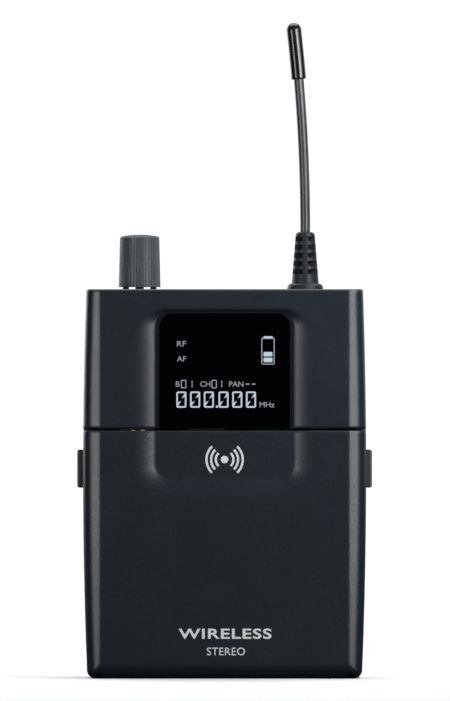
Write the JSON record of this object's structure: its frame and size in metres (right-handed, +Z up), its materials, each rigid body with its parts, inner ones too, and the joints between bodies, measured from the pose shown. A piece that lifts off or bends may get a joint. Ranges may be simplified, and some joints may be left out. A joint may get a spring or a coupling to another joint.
{
  "type": "wireless bodypack receiver",
  "caption": "Belt-worn wireless audio bodypack: display window, ribbed volume knob, whip antenna, hinged battery door with side latches, keys under the door, wire belt clip.",
  "frame": {"origin": "centre of the case's width and depth, on its flat bottom face", "axes": "+Z up to the antenna, -Y out of the display, +X to the right seen from the front"},
  "size_m": [0.0666, 0.0316, 0.1484],
  "materials": {
    "case_plastic": "fine-grained soft-touch charcoal",
    "knob_plastic": "moulded dark grey",
    "collar_plastic": "moulded near-black",
    "boot_rubber": "matt rubber",
    "whip_sleeve": "satin sleeve",
    "tip_plastic": "glossy black",
    "window_plastic": "glossy black window",
    "latch_plastic": "moulded",
    "button_rubber": "matt keys",
    "panel_plastic": "fine-grained",
    "tray_plastic": "moulded black",
    "clip_steel": "black-coated spring steel",
    "steel": "bright steel",
    "screw_steel": "black-oxide steel",
    "contact_metal": "nickel-plated",
    "brass": "turned",
    "ferrule_plastic": "black ring",
    "board_laminate": "green solder mask",
    "chip_epoxy": "moulded epoxy",
    "shield_tin": "tinned sheet",
    "cell_wrap": "printed sleeve",
    "foam": "open foam",
    "display_panel": "display panel",
    "cable_film": "amber film"
  },
  "bodies": {
    "case": {"rear_case": "case_plastic", "front_case": "case_plastic", "hinge_pins": "steel", "display_lens": "window_plastic", "display_gasket": "foam", "display_module": "display_panel", "ribbon_cable": "cable_film", "main_board": "board_laminate", "rf_shield": "shield_tin", "tuner_chip": "chip_epoxy", "processor_chip": "chip_epoxy", "audio_chip": "chip_epoxy", "control_panel": "panel_plastic", "button_board": "board_laminate", "board_connector": "chip_epoxy", "tact_switches": "steel", "battery_tray": "tray_plastic", "battery_cell_left": "cell_wrap", "battery_cell_right": "cell_wrap", "contact_bridge": "contact_metal", "positive_contact": "contact_metal", "negative_contact": "contact_metal", "contact_spring_bottom": "contact_metal", "contact_spring_top": "contact_metal", "knob_collar": "collar_plastic", "potentiometer": "steel", "jack_ferrule": "ferrule_plastic", "jack_socket": "chip_epoxy", "antenna_boot": "boot_rubber", "antenna_base": "brass", "antenna_contact": "brass", "case_screws": "screw_steel", "board_screws": "steel"},
    "door": {"battery_door": "case_plastic", "door_pad": "foam", "latch_spring_left": "steel", "latch_spring_right": "steel"},
    "left_latch": {"latch_left": "latch_plastic"},
    "right_latch": {"latch_right": "latch_plastic"},
    "knob": {"volume_knob": "knob_plastic", "volume_shaft": "steel"},
    "antenna": {"antenna_whip": "whip_sleeve", "antenna_tip": "tip_plastic"},
    "clip": {"belt_clip": "clip_steel"},
    "power_key": {"power_button": "button_rubber"},
    "set_key": {"set_button": "button_rubber"},
    "down_key": {"down_button": "button_rubber"},
    "up_key": {"up_button": "button_rubber"}
  },
  "joints": [
    {"name": "door_hinge", "type": "hinge", "parent": "case", "child": "door", "pos_m": [0, -0.0085, 0.0035], "axis": [1, 0, 0], "range_deg": [0, 88]},
    {"name": "latch_left_press", "type": "slide", "parent": "door", "child": "left_latch", "axis": [1, 0, 0], "range_m": [0, 0.0009], "stiffness_N_per_m": 3000, "springref_m": -0.0004, "deforming": ["latch_spring_left"]},
    {"name": "latch_right_press", "type": "slide", "parent": "door", "child": "right_latch", "axis": [-1, 0, 0], "range_m": [0, 0.0009], "stiffness_N_per_m": 3000, "springref_m": -0.0004, "deforming": ["latch_spring_right"]},
    {"name": "volume_turn", "type": "hinge", "parent": "case", "child": "knob", "pos_m": [-0.01927, 0.0034, 0.09], "axis": [0, 0, 1], "range_deg": [-140, 140]},
    {"name": "antenna_flex", "type": "hinge", "parent": "case", "child": "antenna", "pos_m": [0.01827, 0.0034, 0.1012], "axis": [0, 1, 0], "range_deg": [-20, 20], "stiffness_Nm_per_rad": 0.01},
    {"name": "clip_flex", "type": "hinge", "parent": "case", "child": "clip", "pos_m": [0, 0.0142, 0.07], "axis": [1, 0, 0], "range_deg": [0, 15], "stiffness_Nm_per_rad": 0.6, "springref_deg": -5.73},
    {"name": "power_press", "type": "slide", "parent": "case", "child": "power_key", "axis": [0, 1, 0], "range_m": [0, 0.0004], "stiffness_N_per_m": 3000, "springref_m": -0.0002},
    {"name": "set_press", "type": "slide", "parent": "case", "child": "set_key", "axis": [0, 1, 0], "range_m": [0, 0.0004], "stiffness_N_per_m": 3000, "springref_m": -0.0002},
    {"name": "down_press", "type": "slide", "parent": "case", "child": "down_key", "axis": [0, 1, 0], "range_m": [0, 0.0004], "stiffness_N_per_m": 3000, "springref_m": -0.0002},
    {"name": "up_press", "type": "slide", "parent": "case", "child": "up_key", "axis": [0, 1, 0], "range_m": [0, 0.0004], "stiffness_N_per_m": 3000, "springref_m": -0.0002}
  ]
}
